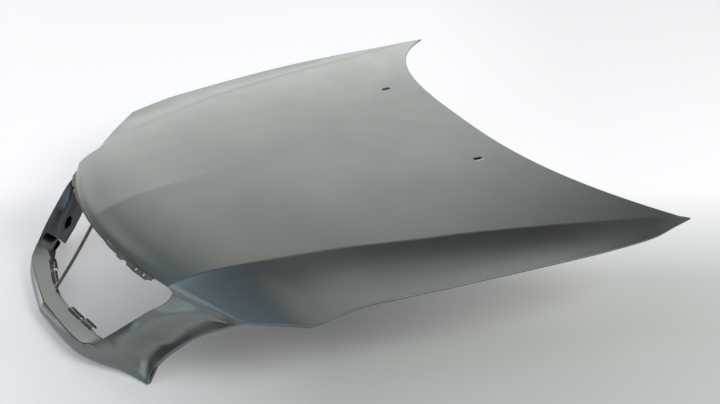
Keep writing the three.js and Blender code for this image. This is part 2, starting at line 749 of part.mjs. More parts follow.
function innerFrame() {
  const sheet = new Sheet();
  const band = (rows, columns) => sheet.bothHalves(rowsOf(rows, columns, (u, w) => framePoint(u, w)));
  band(frameRows, FRAME_COLUMNS.slice(0, 2));
  band(frameRows, [...FRAME_COLUMNS.slice(-2), 1.5, FRAME_TUCKS_IN[1]]);
  for (const column of HOLE_COLUMNS) {
    for (let row = 0; row < HOLE_ROWS; row += 1) {
      if (isPlatform(column, row)) {
        const rows = frameRows.slice(row * STEPS_PER_HOLE, (row + 1) * STEPS_PER_HOLE + 1);
        band(rows, FRAME_COLUMNS.slice(column, column + STEPS_ACROSS_HOLE + 1));
      } else {
        sheet.bothHalves(holeCell(column, row));
      }
    }
  }
  const intoHem = (point) => {
    const frame = frameAt(point);
    const clear = Math.abs(frame.place.distanceTo(cusp)) < CUSP_CLEAR ? CUSP_INSIDE : HEM_INSIDE;
    return offset(frame, clear, -HEM_SEAT);
  };
  sheet.bothHalves(frameRows.map((along) => [framePoint(FRAME_TUCKS_IN[1], along), intoHem(flankPoint(1, along))]));
  sheet.bothHalves([
    FRAME_COLUMNS.map((across) => framePoint(across, FRAME_END)),
    FRAME_COLUMNS.map((across) => intoHem(topPoint(across, 1))),
  ]);
  const cutters = boltSeats().map((seat) => prism(disc(BOLT_HOLE), seat, 12, 8));
  return cut(foldedSheet(sheet, FRAME_SHEET, plainEdge), cutters);
}

// Where bolts pass through the frame into the hinge plates and the latch plate
function boltSeats() {
  const hinges = [1, -1].flatMap((side) => [-1, 1].map((end) => (
    skinSeat(...HINGE_STATION, FRAME_DEPTH, side)
      .multiply(new THREE.Matrix4().makeTranslation(0, end * HINGE_BOLT_SPACING / 2, 0))
  )));
  const across = LATCH_BOLT_SPACING / 2 / crease(LATCH_STATION[1]).x;
  const latch = [1, -1].map((side) => skinSeat(across, LATCH_STATION[1], FRAME_DEPTH, side));
  return [...hinges, ...latch];
}

function rectangle(width, length, corner) {
  const shape = new THREE.Shape();
  const u = width / 2 - corner;
  const w = length / 2 - corner;
  shape.absarc(u, w, corner, 0, Math.PI / 2);
  shape.absarc(-u, w, corner, Math.PI / 2, Math.PI);
  shape.absarc(-u, -w, corner, Math.PI, 1.5 * Math.PI);
  shape.absarc(u, -w, corner, 1.5 * Math.PI, 2 * Math.PI);
  return shape;
}

function plate(shape, holes, seat, allowance) {
  shape.holes.push(...holes);
  const settings = { depth: PLATE_THICKNESS, bevelEnabled: false, curveSegments: 4 };
  const drop = FRAME_SHEET + CLEARANCE + allowance + PLATE_THICKNESS;
  return new THREE.ExtrudeGeometry(shape, settings).translate(0, 0, -drop).applyMatrix4(seat);
}

function hole(x, y, width) {
  const path = new THREE.Path();
  path.absarc(x, y, width / 2, 0, 2 * Math.PI);
  return path;
}

function hingePlate(side) {
  const reach = HINGE_BOLT_SPACING / 2;
  const holes = [hole(0, reach, BOLT_HOLE), hole(0, -reach, BOLT_HOLE)];
  const seat = skinSeat(...HINGE_STATION, FRAME_DEPTH, side);
  return plate(rectangle(...HINGE_PLATE, 8), holes, seat, CROWN_ALLOWANCE);
}

function latchPlate() {
  const reach = LATCH_BOLT_SPACING / 2;
  const slot = new THREE.Path(rectangle(...LATCH_SLOT, 5).getPoints(4));
  const holes = [hole(reach, 0, BOLT_HOLE), hole(-reach, 0, BOLT_HOLE), slot];
  return plate(rectangle(...LATCH_PLATE, 10), holes, skinSeat(...LATCH_STATION, FRAME_DEPTH, 1), RIDGE_ALLOWANCE);
}

function weldNut(seat) {
  const shape = new THREE.Shape();
  const radius = NUT_ACROSS / Math.sqrt(3);
  for (let i = 0; i < 6; i += 1) {
    const angle = (i * Math.PI) / 3;
    const point = [radius * Math.cos(angle), radius * Math.sin(angle)];
    if (i === 0) shape.moveTo(...point);
    else shape.lineTo(...point);
  }
  shape.holes.push(hole(0, 0, BOLT_HOLE - 1));
  const geometry = new THREE.ExtrudeGeometry(shape, { depth: NUT_HEIGHT, bevelEnabled: false, curveSegments: 4 });
  return geometry.translate(0, 0, 2 * CLEARANCE).applyMatrix4(seat);
}

// Inner wall of a pillar: a shallow tray between the flanges of the opening and of the headlight arch
function pillarPanel(side) {
  const sheet = new Sheet();
  const columns = [0.25, 0.5, 0.75];
  const under = (across, along) => {
    const sideways = nosePoint(across + COARSE_STEP, along).sub(nosePoint(across - COARSE_STEP, along));
    const onward = nosePoint(across, along + COARSE_STEP).sub(nosePoint(across, along - COARSE_STEP));
    const up = onward.cross(sideways).normalize();
    return nosePoint(across, along).addScaledVector(up, -PILLAR_DEPTH);
  };
  const rows = PILLAR_STATIONS.map((along) => {
    const inner = frameAt(nosePoint(0, along));
    const outer = frameAt(nosePoint(1, along));
    const wall = -(FRAME_SHEET + 2 * CLEARANCE);
    return [
      offset(inner, wall, 4 - openingFlange(inner.place)),
      offset(inner, wall, -openingFlange(inner.place) - 4),
      ...columns.map((across) => under(across, along)),
      offset(outer, wall, -OPENING_FLANGE - 4),
      offset(outer, wall, -4),
    ];
  });
  sheet.grid(side > 0 ? rows : rows.map((row) => row.map(mirrored)), side > 0);
  const cutters = PILLAR_HOLES.map(([along, length, width]) => {
    const origin = under(0.5, along);
    const up = nosePoint(0.5, along).sub(origin).normalize();
    const rearward = under(0.5, along - 0.05).sub(under(0.5, along + 0.05));
    [origin, up, rearward].forEach((vector) => vector.setX(vector.x * side));
    const shape = new THREE.Shape();
    shape.absellipse(0, 0, width, length, 0, 2 * Math.PI);
    return prism(shape, seatMatrix(origin, up, rearward), 12, 5);
  });
  return cut(foldedSheet(sheet, FRAME_SHEET, plainEdge), cutters);
}

// Closing channel of the nose bar, from the bar's bottom flange up to the flange of the shelf
function noseChannel() {
  const sheet = new Sheet();
  const rows = CHANNEL_STATIONS.map((along) => {
    const bottom = lowerEdge(along);
    const front = openingSide(along);
    const back = frameAt(shelfEdge(along));
    const inward = back.place.clone().sub(front).setZ(0);
    const width = inward.length();
    if (along === 1) inward.setX(0);
    inward.normalize();
    const heel = bottom.clone().addScaledVector(inward, width - 9);
    heel.z = back.place.z - CHANNEL_DROP;
    const seat = BRACKET_SHEET + CLEARANCE;
    return [
      offset(frameAt(bottom), -seat, -3),
      offset(frameAt(bottom), -seat, -CHANNEL_LOWER_LEG),
      heel,
      offset(back, -seat, -OPENING_FLANGE - 2),
      offset(back, -seat, -3),
    ];
  });
  sheet.bothHalves(rows);
  return foldedSheet(sheet, BRACKET_SHEET, plainEdge);
}

// The edge of the skin at a given distance from the middle, between the two nearest points of a row of frames
function edgeAt(frames, half) {
  let i = 0;
  while (i < frames.length - 2 && frames[i + 1].place.x < half) i += 1;
  const [a, b] = [frames[i], frames[i + 1]];
  const share = (half - a.place.x) / (b.place.x - a.place.x);
  return {
    place: a.place.clone().lerp(b.place, share),
    out: a.out.clone().lerp(b.out, share),
    up: a.up.clone().lerp(b.up, share),
  };
}

const mirrorFrame = (frame) => ({ place: mirrored(frame.place), out: mirrored(frame.out), up: mirrored(frame.up) });
const leadingFrames = FRAME_COLUMNS.map((across) => frameAt(topPoint(across, 0)));
const shelfFrames = noseStations
  .filter((station) => station >= SHELF_STATION)
  .map((station) => frameAt(shelfEdge(station)))
  .reverse();

// Notched strip welded under the leading edge, with a tongue in the middle for the rod
function topStrip() {
  const top = FLANGE_BULGE + 3 * CLEARANCE;
  const left = STRIP_WIDTHS.map(([half, width]) => {
    const leg = half <= STRIP_TONGUE_HALF ? STRIP_TONGUE : STRIP_LEG;
    const frame = edgeAt(leadingFrames, half);
    const section = stripSection(top, width, leg);
    return { frame, section };
  });
  const right = left.slice(1).reverse().map(({ frame, section }) => ({ frame: mirrorFrame(frame), section }));
  const rows = [...right, ...left].map(({ frame, section }) => section.map(([out, up]) => offset(frame, out, up)));
  const cutters = STRIP_HOLES.flatMap(([half, down]) => [1, -1].map((side) => {
    const frame = edgeAt(leadingFrames, half);
    const seen = side > 0 ? frame : mirrorFrame(frame);
    const seat = seatMatrix(offset(seen, down, -STRIP_DROP), seen.up, seen.out.clone().negate());
    return prism(disc(STRIP_HOLE_WIDTH), seat, 6, 5);
  }));
  return cut(loft(rows, left.at(-1).section), cutters);
}

const stripSection = (top, width, leg) => [
  [top, -STRIP_DROP],
  [top, -STRIP_DROP - leg],
  [top + BRACKET_SHEET, -STRIP_DROP - leg],
  [top + BRACKET_SHEET, -STRIP_DROP - BRACKET_SHEET],
  [top + width, -STRIP_DROP - BRACKET_SHEET],
  [top + width, -STRIP_DROP],
];

function springClip(side, [from, to], reach) {
  const section = [
    [-CLIP_GRIP, CLEARANCE],
    [reach - CLIP_SHEET, CLEARANCE],
    [reach - CLIP_SHEET, -CLIP_LIP],
    [reach, -CLIP_LIP],
    [reach, CLEARANCE + CLIP_SHEET],
    [-CLIP_GRIP, CLEARANCE + CLIP_SHEET],
  ];
  const rows = [from, (from + to) / 2, to].map((half) => {
    const frame = edgeAt(shelfFrames, half);
    return section.map(([out, up]) => offset(side > 0 ? frame : mirrorFrame(frame), out, up));
  });
  return loft(rows, section);
}

// The rod, from just over the shelf to just under the strip's tongue
function centreBrace() {
  const foot = mirrorFrame(edgeAt(shelfFrames, -BRACE_FOOT_SIDE));
  const head = mirrorFrame(edgeAt(leadingFrames, -BRACE_HEAD_SIDE));
  const rise = BRACE_WIDTH * 0.5;
  const start = offset(foot, -rise, 0).add(new THREE.Vector3(0, 0, rise * 0.75));
  const end = offset(head, FLANGE_BULGE + BRACKET_SHEET + 4 * CLEARANCE + rise * 0.75, -STRIP_TONGUE + rise);
  const middle = start.clone().lerp(end, 0.5).add(new THREE.Vector3(0, BRACE_BOW, -BRACE_BOW));
  const path = new THREE.QuadraticBezierCurve3(start, middle, end);
  return new THREE.ExtrudeGeometry(disc(BRACE_WIDTH), { steps: 8, extrudePath: path, curveSegments: 5 });
}

// A bead of mastic squeezed between a land and the skin
function masticBead(column, row, side) {
  const across = (FRAME_COLUMNS[column] + FRAME_COLUMNS[column + STEPS_ACROSS_HOLE]) / 2;
  const rows = frameRows.slice(row * STEPS_PER_HOLE, (row + 1) * STEPS_PER_HOLE + 1);
  const length = skinPoint(across, rows[0]).distanceTo(skinPoint(across, rows.at(-1)));
  const inset = (LAND_INSET + HOLE_INSET) / 2 / length;
  const along = rows[0] + (rows.at(-1) - rows[0]) * inset;
  const height = LAND_DEPTH - SKIN_SHEET - 2 * BEAD_SQUEEZE;
  const seat = skinSeat(across, along, LAND_DEPTH - BEAD_SQUEEZE, side);
  const settings = { depth: height, bevelEnabled: false, curveSegments: 3 };
  const bead = new THREE.ExtrudeGeometry(roundSlot(BEAD_LENGTH, BEAD_WIDTH), settings);
  return bead.rotateZ(Math.PI / 2).applyMatrix4(seat);
}

const root = new THREE.Group();
function place(name, geometry, material) {
  const mesh = new THREE.Mesh(geometry, materials[material]);
  mesh.name = name;
  root.add(mesh);
}

place('outer_skin', outerSkin(), 'primer');
place('inner_frame', innerFrame(), 'inner_primer');
place('nose_channel', noseChannel(), 'inner_primer');
place('grille_top_strip', topStrip(), 'bracket');
place('centre_brace', centreBrace(), 'bracket');
place('latch_plate', latchPlate(), 'inner_primer');
for (const [side, hand] of [[1, 'left'], [-1, 'right']]) {
  place(`pillar_panel_${hand}`, pillarPanel(side), 'inner_primer');
  place(`hinge_plate_${hand}`, hingePlate(side), 'inner_primer');
  place(`grille_clip_inner_${hand}`, springClip(side, CLIP_SPANS[0], CLIP_REACH[0]), 'clip');
  place(`grille_clip_outer_${hand}`, springClip(side, CLIP_SPANS[1], CLIP_REACH[1]), 'clip');
  BEAD_ROWS.forEach((row, i) => {
    place(`mastic_bead_${hand}_${i + 1}`, masticBead(HOLE_COLUMNS[1], row, side), 'mastic');
  });
}
const nutNames = ['hinge_nut_left_front', 'hinge_nut_left_rear', 'hinge_nut_right_front', 'hinge_nut_right_rear',
  'latch_nut_left', 'latch_nut_right'];
boltSeats().forEach((seat, i) => place(nutNames[i], weldNut(seat), 'zinc'));

export default root;
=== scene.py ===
# %% [markdown]
# # A bare car bonnet in grey primer
# The object is one pressed steel panel: a creased top, two sloping flanks, and a nose that frames the
# grille opening. The solids of the part are already right in size, but they are faceted. Here the outer
# skin and the spring clips are made again, much finer, from the same guide lines, and every other piece
# keeps its form and gets a finish.

import json
import math

import bmesh
import bpy
import numpy as np
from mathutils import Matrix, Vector


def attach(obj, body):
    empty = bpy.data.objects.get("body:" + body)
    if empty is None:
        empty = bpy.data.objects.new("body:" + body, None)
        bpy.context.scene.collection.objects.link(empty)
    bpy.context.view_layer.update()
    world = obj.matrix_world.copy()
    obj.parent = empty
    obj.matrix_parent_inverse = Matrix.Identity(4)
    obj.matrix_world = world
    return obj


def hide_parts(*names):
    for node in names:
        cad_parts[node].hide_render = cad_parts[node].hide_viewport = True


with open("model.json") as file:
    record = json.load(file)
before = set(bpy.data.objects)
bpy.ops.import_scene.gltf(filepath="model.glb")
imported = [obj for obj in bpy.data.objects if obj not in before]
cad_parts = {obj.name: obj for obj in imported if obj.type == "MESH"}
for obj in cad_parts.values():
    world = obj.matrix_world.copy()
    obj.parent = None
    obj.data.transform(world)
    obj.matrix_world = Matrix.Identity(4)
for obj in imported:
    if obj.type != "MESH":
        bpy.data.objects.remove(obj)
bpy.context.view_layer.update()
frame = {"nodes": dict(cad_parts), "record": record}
nodes = frame["nodes"]
print("solids:", len(nodes))

# %% [markdown]
# The camera stands on the car's left, in front, and looks down on the panel. The way it points comes from
# an azimuth and an elevation, so the picture stays level. A long lens keeps the far corner nearly as
# large as the near one.

# %% Camera
CAMERA_PLACE = (3.4303, -1.3883, 1.9268)
CAMERA_AZIMUTH = math.radians(65.475)
CAMERA_ELEVATION = math.radians(25.142)
LENS = 75
SENSOR_WIDTH = 36

camera_data = bpy.data.cameras.new("camera")
camera_data.lens = LENS
camera_data.sensor_width = SENSOR_WIDTH
camera = bpy.data.objects.new("camera", camera_data)
bpy.context.scene.collection.objects.link(camera)
backward = Vector((
    math.sin(CAMERA_AZIMUTH) * math.cos(CAMERA_ELEVATION),
    -math.cos(CAMERA_AZIMUTH) * math.cos(CAMERA_ELEVATION),
    math.sin(CAMERA_ELEVATION),
))
camera.location = CAMERA_PLACE
camera.rotation_mode = "QUATERNION"
camera.rotation_quaternion = (-backward).to_track_quat("-Z", "Y")
bpy.context.scene.camera = camera
print("camera at", CAMERA_PLACE, "with a lens of", LENS, "mm")

# %% [markdown]
# A panel like this is drawn by its feature lines: the centre line, the crease along each side, the edge
# over the wing, the headlamp arch, the side of the grille opening and the bottom of the nose bar. Each is
# a smooth curve through a few measured stations. The numbers are millimetres: sideways, back from a point
# just behind the leading edge, and up from the floor. A cubic between each pair of stations, with the
# slope taken from the stations on both sides, gives a line without kinks.

# %% Sizes of the panel
MIDDLE = 561
METRES = 0.001
SKIN_SHEET = 0.8

NOSE_TIP_HALF = 428
OPENING_BOTTOM_HALF = 298
OPENING_TOP_HALF = 400
CUSP_HALF = 714
WIDEST_HALF = 771
REAR_CORNER_HALF = 740
CREASE_END_HALF = 722

NOSE_FRONT = -161
LEADING_EDGE = -21
NOSE_TIP_BACK = -17
CUSP_BACK = 305
REAR_CENTRE_BACK = 1035
REAR_CORNER_BACK = 1294

FLOOR_HEM = 4.2
SHELF_HEIGHT = 48
LIP_HEIGHT = 257
LIP_FALL = 16
CREASE_START_HEIGHT = 269
CUSP_HEIGHT = 239
REAR_CENTRE_HEIGHT = 369
REAR_CORNER_HEIGHT = 322

CUSP_STATION = 0.21
TIP_STATION = 0.47
SHELF_STATION = 0.54
print("half widths at nose, cusp and widest:", NOSE_TIP_HALF, CUSP_HALF, WIDEST_HALF)


# %% Lines through stations
def at(x, back, height):
    return (x, back - MIDDLE, height)


def through(stations):
    shares = np.array([s[0] for s in stations], float)
    places = np.array([at(*s[1:]) for s in stations], float)
    before = np.maximum(np.arange(len(shares)) - 1, 0)
    after = np.minimum(np.arange(len(shares)) + 1, len(shares) - 1)
    slopes = (places[after] - places[before]) / (shares[after] - shares[before])[:, None]

    def line(share):
        share = np.asarray(share, float)
        i = np.clip(np.searchsorted(shares, share) - 1, 0, len(shares) - 2)
        gap = shares[i + 1] - shares[i]
        t = (share - shares[i]) / gap
        start = (2 * t**3 - 3 * t**2 + 1)[..., None]
        leave = ((t**3 - 2 * t**2 + t) * gap)[..., None]
        arrive = ((t**3 - t**2) * gap)[..., None]
        return places[i] * start + places[i + 1] * (1 - start) + slopes[i] * leave + slopes[i + 1] * arrive

    return line


def joined(share_of_corner, first, second):
    def line(share):
        share = np.asarray(share, float)
        near = first(np.minimum(share, share_of_corner))
        far = second(np.maximum(share, share_of_corner))
        return np.where((share <= share_of_corner)[..., None], near, far)

    return line


# %% Lines that run back along the car
centre_line = through([
    (0, 0, LEADING_EDGE, LIP_HEIGHT),
    (0.007, 0, LEADING_EDGE + 10, LIP_HEIGHT + 7),
    (0.014, 0, 0, CREASE_START_HEIGHT),
    (0.06, 0, 60, CREASE_START_HEIGHT + 21),
    (0.12, 0, 141, CREASE_START_HEIGHT + 38),
    (0.19, 0, 232, CREASE_START_HEIGHT + 49),
    (0.33, 0, 389, CREASE_START_HEIGHT + 66),
    (0.46, 0, 543, REAR_CENTRE_HEIGHT - 24),
    (0.58, 0, 678, REAR_CENTRE_HEIGHT - 17),
    (0.7, 0, 800, REAR_CENTRE_HEIGHT - 11),
    (0.85, 0, 930, REAR_CENTRE_HEIGHT - 5),
    (1, 0, REAR_CENTRE_BACK, REAR_CENTRE_HEIGHT),
])
crease = through([
    (0, OPENING_TOP_HALF, 56, LIP_HEIGHT - LIP_FALL),
    (0.014, OPENING_TOP_HALF + 7, 76, LIP_HEIGHT + 11 - LIP_FALL),
    (0.055, OPENING_TOP_HALF + 21, 127, CREASE_START_HEIGHT),
    (0.11, OPENING_TOP_HALF + 41, 196, CREASE_START_HEIGHT + 14),
    (CUSP_STATION, 474, 312, CREASE_START_HEIGHT + 29),
    (0.29, 506, 422, CREASE_START_HEIGHT + 41),
    (0.36, 531, 503, CREASE_START_HEIGHT + 48),
    (0.46, 566, 633, REAR_CORNER_HEIGHT),
    (0.54, 590, 735, REAR_CORNER_HEIGHT + 4),
    (0.7, 640, 940, REAR_CORNER_HEIGHT + 6),
    (0.86, 690, 1140, REAR_CORNER_HEIGHT + 4),
    (1, CREASE_END_HALF, REAR_CORNER_BACK - 20, REAR_CORNER_HEIGHT + 1),
])
lamp_arch_top = through([
    (0, 590, 177, 209),
    (0.07, 634, 222, 222),
    (0.14, 675, 264, 231),
    (CUSP_STATION, CUSP_HALF, CUSP_BACK, CUSP_HEIGHT),
])
wing_edge = through([
    (CUSP_STATION, CUSP_HALF, CUSP_BACK, CUSP_HEIGHT),
    (0.25, CUSP_HALF, CUSP_BACK + 55, CUSP_HEIGHT + 14),
    (0.3, CUSP_HALF + 5, CUSP_BACK + 125, CUSP_HEIGHT + 27),
    (0.36, CUSP_HALF + 15, CUSP_BACK + 200, CUSP_HEIGHT + 33),
    (0.46, 743, CUSP_BACK + 315, CUSP_HEIGHT + 41),
    (0.58, 757, CUSP_BACK + 455, CUSP_HEIGHT + 50),
    (0.7, WIDEST_HALF - 4, CUSP_BACK + 600, CUSP_HEIGHT + 57),
    (0.82, WIDEST_HALF, CUSP_BACK + 740, CUSP_HEIGHT + 62),
    (0.92, WIDEST_HALF - 5, CUSP_BACK + 868, CUSP_HEIGHT + 68),
    (0.965, 752, CUSP_BACK + 935, CUSP_HEIGHT + 77),
    (1, REAR_CORNER_HALF, REAR_CORNER_BACK, REAR_CORNER_HEIGHT),
])
outer_edge = joined(CUSP_STATION, lamp_arch_top, wing_edge)
print("crease from", crease(0).round(1), "to", crease(1).round(1))

# %% Lines that run down the opening and in along the nose bar
opening_side = through([
    (0, OPENING_TOP_HALF, 56, LIP_HEIGHT - LIP_FALL),
    (0.05, OPENING_TOP_HALF + 12, 62, LIP_HEIGHT - LIP_FALL - 17),
    (0.1, OPENING_TOP_HALF + 9, 46, 204),
    (0.2, 392, 14, 182),
    (0.32, 364, -25, 147),
    (0.44, 329, -70, 104),
    (SHELF_STATION, OPENING_BOTTOM_HALF, -102, SHELF_HEIGHT + 23),
    (0.58, OPENING_BOTTOM_HALF - 8, -110, SHELF_HEIGHT + 18),
    (0.63, 272, -120, SHELF_HEIGHT + 12),
    (0.69, 250, -131, SHELF_HEIGHT + 7),
    (0.8, 180, -143, SHELF_HEIGHT + 3),
    (0.9, 91, -152, SHELF_HEIGHT + 1),
    (1, 0, NOSE_FRONT + 1, SHELF_HEIGHT),
])
lamp_arch_side = through([
    (0, 590, 177, 209),
    (0.1, 560, 150, 193),
    (0.2, 518, 115, 164),
    (0.28, 488, 85, 140),
    (0.34, 458, 50, 106),
    (0.4, 434, 20, 70),
    (0.44, 420, -2, 34),
    (TIP_STATION, NOSE_TIP_HALF, NOSE_TIP_BACK, FLOOR_HEM),
])
bar_bottom = through([
    (TIP_STATION, NOSE_TIP_HALF, NOSE_TIP_BACK, FLOOR_HEM),
    (0.53, 381, -37, FLOOR_HEM),
    (0.59, 338, -59, FLOOR_HEM),
    (0.66, 286, -95, FLOOR_HEM),
    (0.75, 219, -127, FLOOR_HEM),
    (0.88, 102, -148, FLOOR_HEM),
    (1, 0, NOSE_FRONT, FLOOR_HEM),
])
lower_edge = joined(TIP_STATION, lamp_arch_side, bar_bottom)
shelf_edge = through([
    (SHELF_STATION, OPENING_BOTTOM_HALF, -102, SHELF_HEIGHT + 23),
    (0.6, 268, -88, SHELF_HEIGHT + 15),
    (0.66, 238, -86, SHELF_HEIGHT + 11),
    (0.76, 186, -91, SHELF_HEIGHT + 9),
    (0.88, 92, -107, SHELF_HEIGHT + 6),
    (1, 0, -114, SHELF_HEIGHT + 4),
])
print("shelf edge from", shelf_edge(SHELF_STATION).round(1), "to", shelf_edge(1).round(1))

# %% [markdown]
# Between two lines lies a surface. The top panel crowns across the car by a power of the distance from
# the middle, which keeps it flat in the centre and lets it fall away near the crease. A low ridge fades
# out along the middle of it, towards the rear.

# %% Surface of the top
CROWN_POWER = 2
DROP_POWER = 0.8
RIDGE_SLOPE = 0.045
RIDGE_START = 0.03
RIDGE_FADE = 0.4


def fade(value, low, high):
    t = np.clip((value - low) / (high - low), 0, 1)
    return t * t * (3 - 2 * t)


def mix(a, b, share):
    return a + (b - a) * share


def unit(vectors):
    return vectors / np.linalg.norm(vectors, axis=-1, keepdims=True)


def top_point(across, along):
    middle = centre_line(along)
    side = crease(along)
    ridge = RIDGE_SLOPE * np.maximum(0, 1 - along / RIDGE_FADE) * np.minimum(1, along / RIDGE_START)
    x = side[..., 0] * across
    y = mix(middle[..., 1], side[..., 1], across ** (CROWN_POWER + DROP_POWER * along))
    z = mix(middle[..., 2], side[..., 2], across ** (CROWN_POWER + along)) - ridge * x * (1 - across)
    return np.stack([x, y, z], -1)


print("top, half way out and back:", top_point(np.array(0.5), np.array(0.5)).round(1))

# %% [markdown]
# The flanks and the nose are strips between two lines. They bow in a little, because a pressed flank is
# hollow and catches a band of light. The pillar beside the opening sways as well, full next to the opening
# and hollow further out, and the bar under the opening is rounded. The shelf is straight across.

# %% Surfaces of the flanks, the nose and the shelf
STRIP_STEP = 0.004
FLANK_HOLLOW = -9
CHEEK_HOLLOW = -9
FLANK_FLATTENS = (0.6, 0.97)
LIP_END = 0.035
LIP_FADES = 9
PILLAR_CROWN = 12
PILLAR_GROWS = (0, 0.12)
CHEEK_DEEPENS = (0, 0.15)
PILLAR_ENDS = (0.35, 0.62)
BAR_CROWN = 13


def strip_outward(upper, lower, along, turn):
    low = np.maximum(along - STRIP_STEP, 0)
    high = np.minimum(along + STRIP_STEP, 1)
    sideways = lower(along) - upper(along)
    onward = upper(high) + lower(high) - upper(low) - lower(low)
    return unit(np.cross(sideways, onward) * turn)


def strip_point(upper, lower, outward, across, bow, sway):
    lift = bow * np.sin(np.pi * across) + sway * np.sin(2 * np.pi * across)
    return mix(upper, lower, across[..., None]) + outward * lift[..., None]


def lip_step(along):
    share = np.minimum(along / LIP_END, 1)[..., None]
    straight = mix(crease(np.array(0.0)), crease(np.array(LIP_END)), share)
    return np.where(share < 1, crease(along) - straight, 0)


def flank_point(across, along):
    outward = strip_outward(crease, outer_edge, along, 1)
    bow = FLANK_HOLLOW * (1 - fade(along, *FLANK_FLATTENS))
    point = strip_point(crease(along), outer_edge(along), outward, across, bow, 0 * along)
    return point - lip_step(along) * ((1 - across) - (1 - across) ** LIP_FADES)[..., None]


def nose_point(across, along):
    start = strip_outward(crease, outer_edge, np.zeros_like(along), 1)
    outward = strip_outward(opening_side, lower_edge, along, -1)
    outward = mix(outward, start, (1 - fade(along, *PILLAR_GROWS))[..., None])
    outward[..., 0] = np.where(along == 1, 0, outward[..., 0])
    pillar = 1 - fade(along, *PILLAR_ENDS)
    hollow = mix(FLANK_HOLLOW, CHEEK_HOLLOW, fade(along, *CHEEK_DEEPENS))
    bow = mix(BAR_CROWN, hollow, pillar)
    sway = PILLAR_CROWN * pillar * fade(along, *PILLAR_GROWS)
    return strip_point(opening_side(along), lower_edge(along), unit(outward), across, bow, sway)


def shelf_point(across, along):
    return mix(opening_side(along), shelf_edge(along), across[..., None])


print("flank, half way down and back:", flank_point(np.array(0.5), np.array(0.5)).round(1))

# %% [markdown]
# A mesh reads best when its points are close where the surface turns sharply, which here is beside the
# creases, and wider apart elsewhere. `eased` gives such a spacing. The grids are joined into one sheet by
# merging the points that coincide.

# %% Grids of points joined into one sheet
WELD = 0.02


def eased(count, ease):
    t = np.linspace(0, 1, count + 1)
    return t - ease * np.sin(2 * np.pi * t) / (2 * np.pi)


def runs(*stretches):
    parts = [np.linspace(low, high, count, endpoint=False) for low, high, count in stretches]
    return np.concatenate([*parts, [stretches[-1][1]]])


def grid(point, columns, rows):
    along, across = np.meshgrid(rows, columns, indexing="ij")
    return point(across, along)


class Sheet:
    def __init__(self):
        self.parts = []

    def add(self, points, turned=False):
        self.parts.append((points, turned))

    def both_halves(self, points, turned=False):
        self.add(points, turned)
        self.add(points * (-1, 1, 1), not turned)

    def welded(self):
        bm = bmesh.new()
        for points, turned in self.parts:
            rows, columns = points.shape[:2]
            made = [bm.verts.new(p) for p in points.reshape(-1, 3)]
            for i in range(rows - 1):
                for j in range(columns - 1):
                    first = i * columns + j
                    ring = [made[first], made[first + 1], made[first + columns + 1], made[first + columns]]
                    if turned:
                        ring.reverse()
                    bm.faces.new(ring)
        bmesh.ops.remove_doubles(bm, verts=bm.verts, dist=WELD)
        bm.verts.index_update()
        points = np.array([v.co for v in bm.verts])
        faces = [[v.index for v in face.verts] for face in bm.faces]
        bm.free()
        return points, faces


print("eased into four:", eased(4, 0.6).round(2))


# %% Make an object of points and faces
def object_from(name, points, faces, smooth_below=50):
    mesh = bpy.data.meshes.new(name)
    mesh.from_pydata((np.asarray(points) * METRES).tolist(), [], [list(f) for f in faces])
    mesh.validate()
    mesh.shade_smooth()
    mesh.set_sharp_from_angle(angle=math.radians(smooth_below))
    made = bpy.data.objects.new(name, mesh)
    bpy.context.scene.collection.objects.link(made)
    return made


# %% [markdown]
# A real sheet has two faces and a folded edge. Along the wings and the rear the outer skin is folded
# right round the inner frame, which makes a rounded rim called a rope hem. Round the opening, the
# headlamp arches and the nose it is only turned down as a flange. `folded_sheet` gives any sheet its
# thickness, finds its open edges, and carries both faces along the fold's path, a pair of distances out
# of and up from the edge at each step.

# %% Give a sheet its thickness and folded edges
def open_edges(faces):
    directed = {(f[k], f[(k + 1) % len(f)]) for f in faces for k in range(len(f))}
    onward = {a: b for a, b in directed if (b, a) not in directed}
    rings = []
    while onward:
        point = next(iter(onward))
        ring = []
        while point in onward:
            ring.append(point)
            point = onward.pop(point)
        rings.append(ring)
    return rings


def point_normals(points, faces):
    sums = np.zeros_like(points)
    for size in (3, 4):
        chosen = np.array([f for f in faces if len(f) == size], int)
        if len(chosen) == 0:
            continue
        first_way = points[chosen[:, 2]] - points[chosen[:, 0]]
        turn = np.cross(first_way, points[chosen[:, -1]] - points[chosen[:, 1]])
        for k in range(size):
            np.add.at(sums, chosen[:, k], turn)
    return unit(sums)


def edge_frames(points, ring, normals):
    place = points[ring]
    run = unit(np.roll(place, -1, 0) - place) + unit(place - np.roll(place, 1, 0))
    up = normals[ring]
    return place, unit(np.cross(run, up)), up


def folded_sheet(points, faces, thickness, fold_of=None):
    normals = point_normals(points, faces)
    shift = len(points)
    all_points = [points, points - normals * thickness]
    count = 2 * shift
    all_faces = [list(f) for f in faces] + [[i + shift for i in reversed(f)] for f in faces]

    def band(row_a, row_b, turned):
        for i in range(len(row_a)):
            j = (i + 1) % len(row_a)
            ring = [row_a[j], row_a[i], row_b[i], row_b[j]]
            if turned:
                ring.reverse()
            all_faces.append(ring)

    for ring in open_edges(faces):
        upper = list(ring)
        lower = [i + shift for i in ring]
        if fold_of is not None:
            place, out, up = edge_frames(points, ring, normals)
            over, under = fold_of(place)
            for step in range(len(over)):
                for path, turned in ((over, False), (under, True)):
                    fresh = place + out * path[step][:, :1] + up * path[step][:, 1:]
                    ids = list(range(count, count + len(ring)))
                    all_points.append(fresh)
                    count += len(ring)
                    band(lower if turned else upper, ids, turned)
                    if turned:
                        lower = ids
                    else:
                        upper = ids
        band(upper, lower, False)
    return np.concatenate(all_points), all_faces


# %% [markdown]
# The legs of the folds shorten towards the corners, where a real sheet would otherwise run into itself.
# At the side of the opening the flange deepens half way up, as the inner wall does there.

